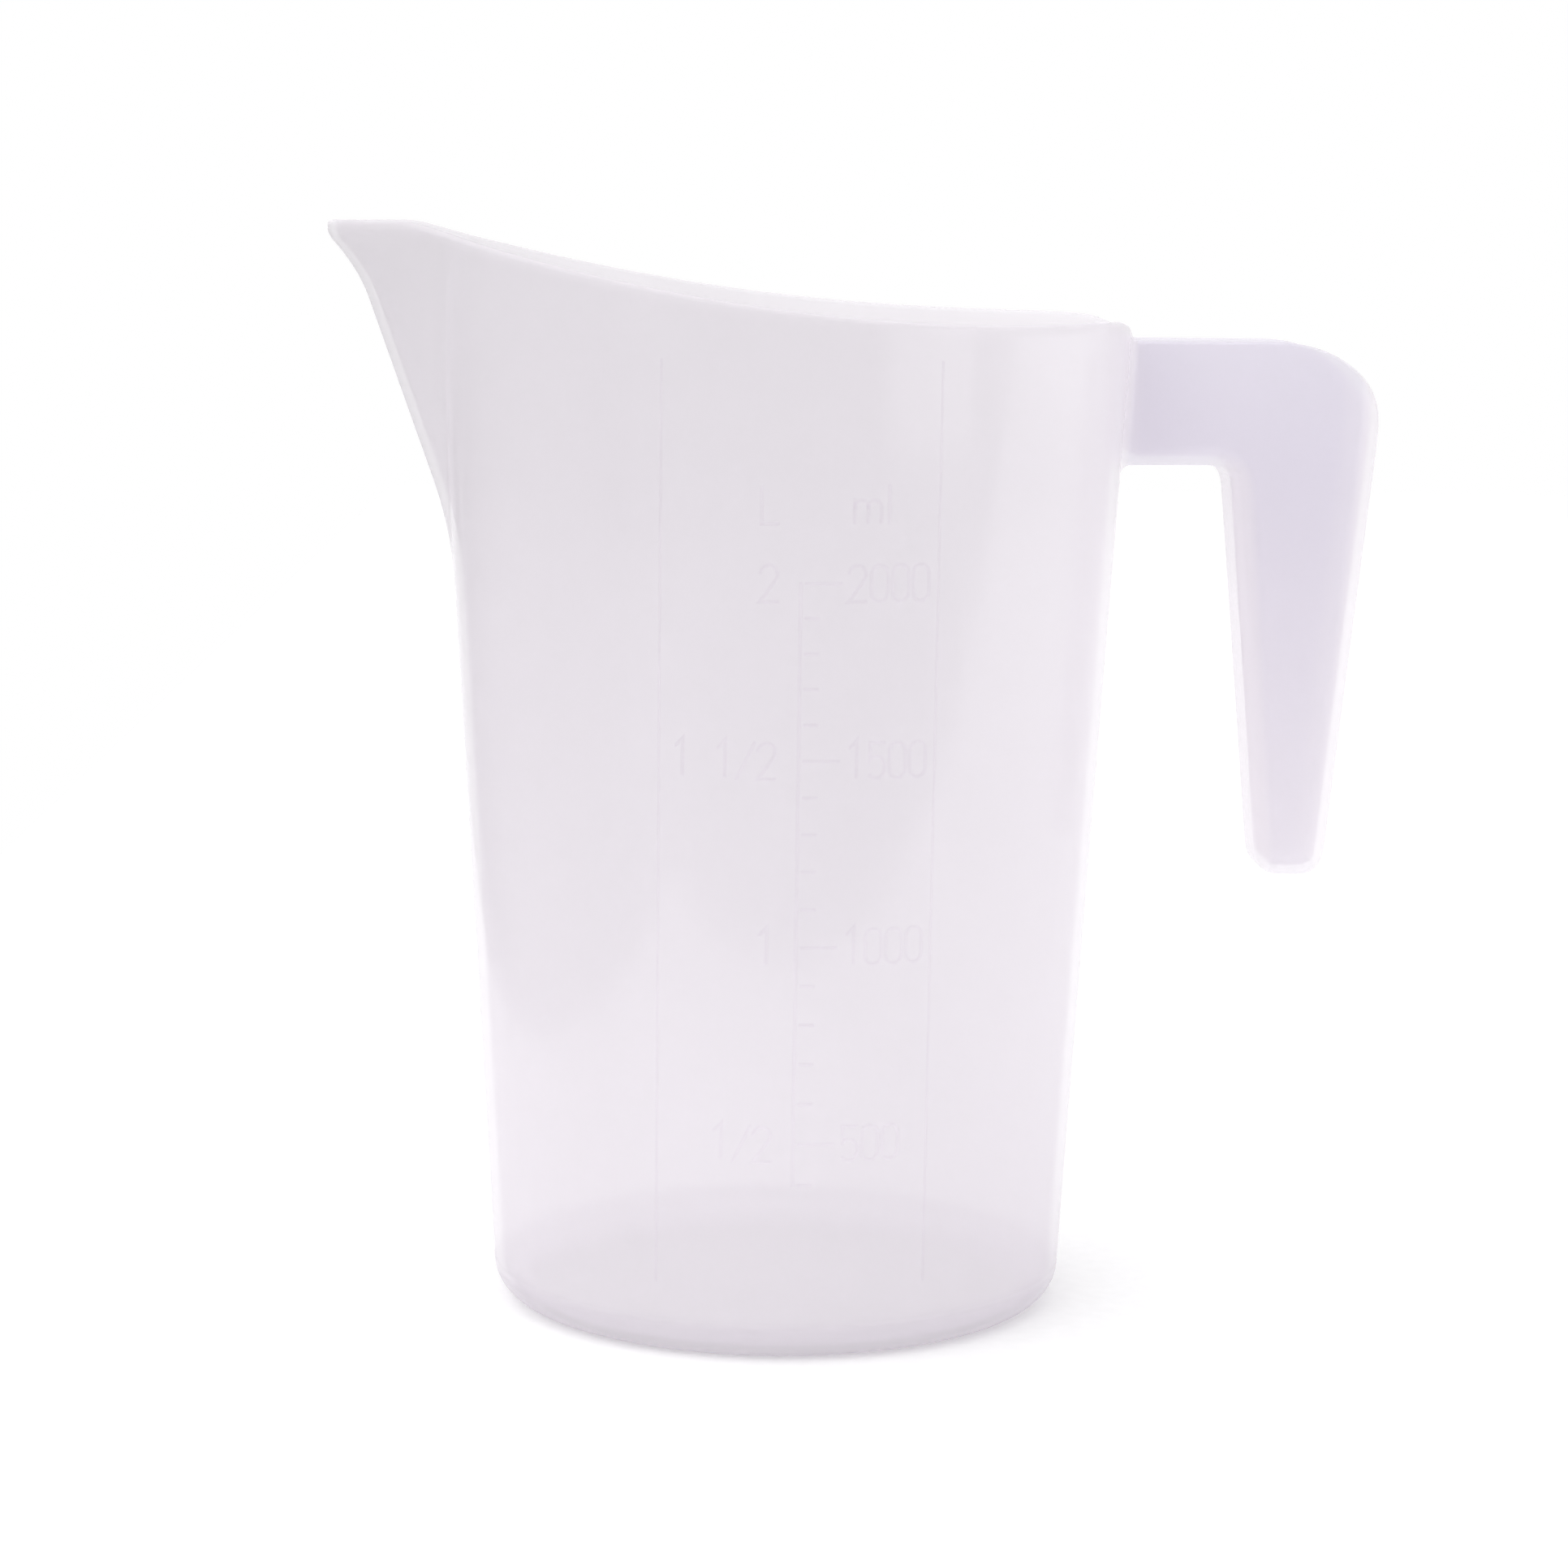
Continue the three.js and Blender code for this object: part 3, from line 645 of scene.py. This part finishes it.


# The vessel's heel corner gets painted shade: a darker, less clear plastic there.
VESSEL_PLASTIC = milky_plastic(
    "milky vessel plastic", pale=(0.90, 0.875, 0.902), deep=(0.86, 0.835, 0.862), clear=(0.52, 0.60),
    roughness=0.1, cloudiness=9.0, painted_light_and_shade=(heel_shade_mask, (0.79, 0.76, 0.80), 0.4))
# The handle's edges and lower grip get painted highlight: a paler, clearer plastic there.
HANDLE_PLASTIC = milky_plastic(
    "milky handle plastic", pale=(0.85, 0.822, 0.89), deep=(0.80, 0.772, 0.85), clear=(0.52, 0.60),
    roughness=0.2, cloudiness=14.0, painted_light_and_shade=(grip_highlight_mask, (0.91, 0.88, 0.905), 0.60))
MARK_PLASTIC = milky_plastic(
    "raised mark plastic", pale=(0.99, 0.965, 0.99), deep=(0.96, 0.935, 0.96), clear=(0.92, 0.96),
    roughness=0.2, cloudiness=60.0, glow_share=0.1)

# ---------------------------------------------------------------- the jug

finish_piece(vessel_mesh(), "jug_vessel",
             ["vessel_floor", "heel_ring", "vessel_wall", "pouring_spout", "rim_edge"],
             VESSEL_PLASTIC)
handle, handle_normals = handle_mesh()
finish_piece(handle, "jug_handle", ["handle_arm", "handle_grip", "handle_end"],
             HANDLE_PLASTIC, handle_normals)

place_bar("scale_line")
for millilitres in range(400, 2001, 100):
    place_bar(f"graduation_{millilitres:04d}")
for side in ("left", "right"):
    place_bar(f"panel_line_{side}", PANEL_LINE_WIDTH)

LABELS = {
    "numeral_500": "500", "numeral_1000": "1000", "numeral_1500": "1500", "numeral_2000": "2000",
    "litres_for_500": "1/2", "litres_for_1000": "1",
    "litres_for_1500": "1 1/2", "litres_for_2000": "2",
    "unit_millilitre": "ml", "unit_litre": "L",
}
for label, word in LABELS.items():
    for number, character in enumerate(word, start=1):
        if character != " ":
            place_glyph(f"{label}_{number}", character)

# ---------------------------------------------------------------- floor, light and camera

JUG_TURN = math.radians(1.9)                # how far the jug is turned on the table


def pale_floor():
    """A white sheet on the table, which fades at its far end into the white of the room."""
    left, right, front, fading, back = -0.265, 2.5, -0.33, 1.4, 2.4
    columns, rows = 12, 16
    x, y = np.meshgrid(np.linspace(left, right, columns), np.linspace(front, back, rows))
    mesh = grid_mesh("floor", np.stack([x, y, np.zeros_like(x)], axis=2), False)
    material = new_material("white sheet")
    tree = material.node_tree
    place = add(tree, "ShaderNodeTexCoord").outputs["Object"]
    fibre = add(tree, "ShaderNodeTexNoise", {"Vector": place, "Scale": 300.0, "Detail": 2.0})
    colour = ramp(tree, fibre.outputs["Fac"], [(0.3, 0.79), (0.7, 0.81)])
    surface = add(tree, "ShaderNodeBsdfPrincipled", {
        "Base Color": colour, "Roughness": 0.9,
        "Emission Color": (1, 1, 1, 1), "Emission Strength": 0.1})
    distance = add(tree, "ShaderNodeSeparateXYZ", {"Vector": place}).outputs["Y"]
    fade = along_scale(tree, distance, fading, back)
    beyond = add(tree, "ShaderNodeBsdfTransparent")
    whole = add(tree, "ShaderNodeMixShader", {0: fade, 1: surface.outputs[0], 2: beyond.outputs[0]})
    output = add(tree, "ShaderNodeOutputMaterial")
    tree.links.new(whole.outputs[0], output.inputs["Surface"])
    mesh.materials.append(material)
    floor = bpy.data.objects.new("floor", mesh)
    floor.rotation_euler.z = -JUG_TURN
    bpy.context.scene.collection.objects.link(floor)


def white_room(sides, above, backdrop):
    """The camera sees paper white all round. The light comes softly from the room's sides above
    table level, given as (left, right) and (front, back), from above, and from a white backdrop
    behind the jug. All are brightnesses."""
    world = bpy.data.worlds.new("white room")
    bpy.context.scene.world = world
    world.use_nodes = True
    tree = world.node_tree
    tree.nodes.clear()
    direction = add(tree, "ShaderNodeTexCoord").outputs["Generated"]
    parts = add(tree, "ShaderNodeSeparateXYZ", {"Vector": direction}).outputs

    def combined(operation, first, second):
        inputs = {0: first, 1: second}
        return add(tree, "ShaderNodeVectorMath", inputs, operation=operation).outputs["Vector"]

    walls = [ramp(tree, along_scale(tree, parts[axis], -1.0, 1.0), [(0, low), (0.5, 0), (1, high)])
             for axis, (low, high) in zip("XY", sides)]
    above_table = along_scale(tree, parts["Z"], -0.1, 0.05)
    around = combined("MULTIPLY", combined("ADD", *walls), above_table)
    ceiling = ramp(tree, along_scale(tree, parts["Z"], 0.0, 1.0), [(0, 0), (1, above)])
    panel = ramp(tree, along_scale(tree, parts["Y"], 0.9, 0.97), [(0, 0), (1, backdrop)])
    light = combined("ADD", combined("ADD", around, ceiling), panel)
    ray = add(tree, "ShaderNodeLightPath")
    seen = add(tree, "ShaderNodeBackground", {"Color": (1, 1, 1, 1), "Strength": 1.0})
    given = add(tree, "ShaderNodeBackground", {"Color": light, "Strength": 1.0})
    mixed = add(tree, "ShaderNodeMixShader", {
        0: ray.outputs["Is Camera Ray"], 1: given.outputs[0], 2: seen.outputs[0]})
    output = add(tree, "ShaderNodeOutputWorld")
    tree.links.new(mixed.outputs[0], output.inputs["Surface"])


def softbox(name, place, target, size, power, colour=(1, 1, 1)):
    lamp = bpy.data.lights.new(name, "AREA")
    lamp.shape = "RECTANGLE"
    lamp.size, lamp.size_y = size
    lamp.energy = power
    lamp.color = colour
    holder = bpy.data.objects.new(name, lamp)
    holder.location = place
    holder.rotation_euler = (Vector(target) - Vector(place)).to_track_quat("-Z", "Y").to_euler()
    holder.visible_camera = False
    bpy.context.scene.collection.objects.link(holder)


CAMERA_DISTANCE = 877.3 * MM                # from the jug's axis, in front of it
CAMERA_HEIGHT = 238.3 * MM
CAMERA_ASIDE = -15.85 * MM
CAMERA_PITCH = 0.1445                       # radians, downwards
CAMERA_YAW = 0.0189                         # radians, to the right
CAMERA_ROLL = 0.0105                        # radians
FOCAL_SHARE = 2.640                         # focal length over the picture's width


def set_camera():
    lens = bpy.data.cameras.new("camera")
    lens.sensor_width = 36
    lens.lens = FOCAL_SHARE * lens.sensor_width
    lens.dof.use_dof = False
    ahead = Vector((math.sin(CAMERA_YAW) * math.cos(CAMERA_PITCH),
                    math.cos(CAMERA_YAW) * math.cos(CAMERA_PITCH), -math.sin(CAMERA_PITCH)))
    level = Vector((math.cos(CAMERA_YAW), -math.sin(CAMERA_YAW), 0))
    upright = level.cross(ahead)
    right = math.cos(CAMERA_ROLL) * level + math.sin(CAMERA_ROLL) * upright
    up = right.cross(ahead)
    pose = Matrix.Translation((CAMERA_ASIDE, -CAMERA_DISTANCE, CAMERA_HEIGHT))
    pose = pose @ Matrix((right, up, -ahead)).transposed().to_4x4()
    camera = bpy.data.objects.new("camera", lens)
    camera.matrix_world = Matrix.Rotation(-JUG_TURN, 4, "Z") @ pose
    bpy.context.scene.collection.objects.link(camera)
    bpy.context.scene.camera = camera


pale_floor()
white_room(sides=[(1.2, 0.0), (0.62, 0.0)], above=1.38, backdrop=1.2)
softbox("right window", place=(1.1, -0.1, 0.35), target=(0, -0.1, 0.1), size=(2.0, 0.6),
        power=2.6, colour=(0.96, 0.98, 1))
softbox("front light", place=(0.8, -0.8, 0.15), target=(0, 0, 0.05), size=(0.6, 0.3), power=0.85)
set_camera()

view = bpy.context.scene.view_settings
view.view_transform = "Standard"
view.look = "None"
bpy.context.scene.cycles.use_denoising = True
bpy.context.scene.cycles.transparent_max_bounces = 32
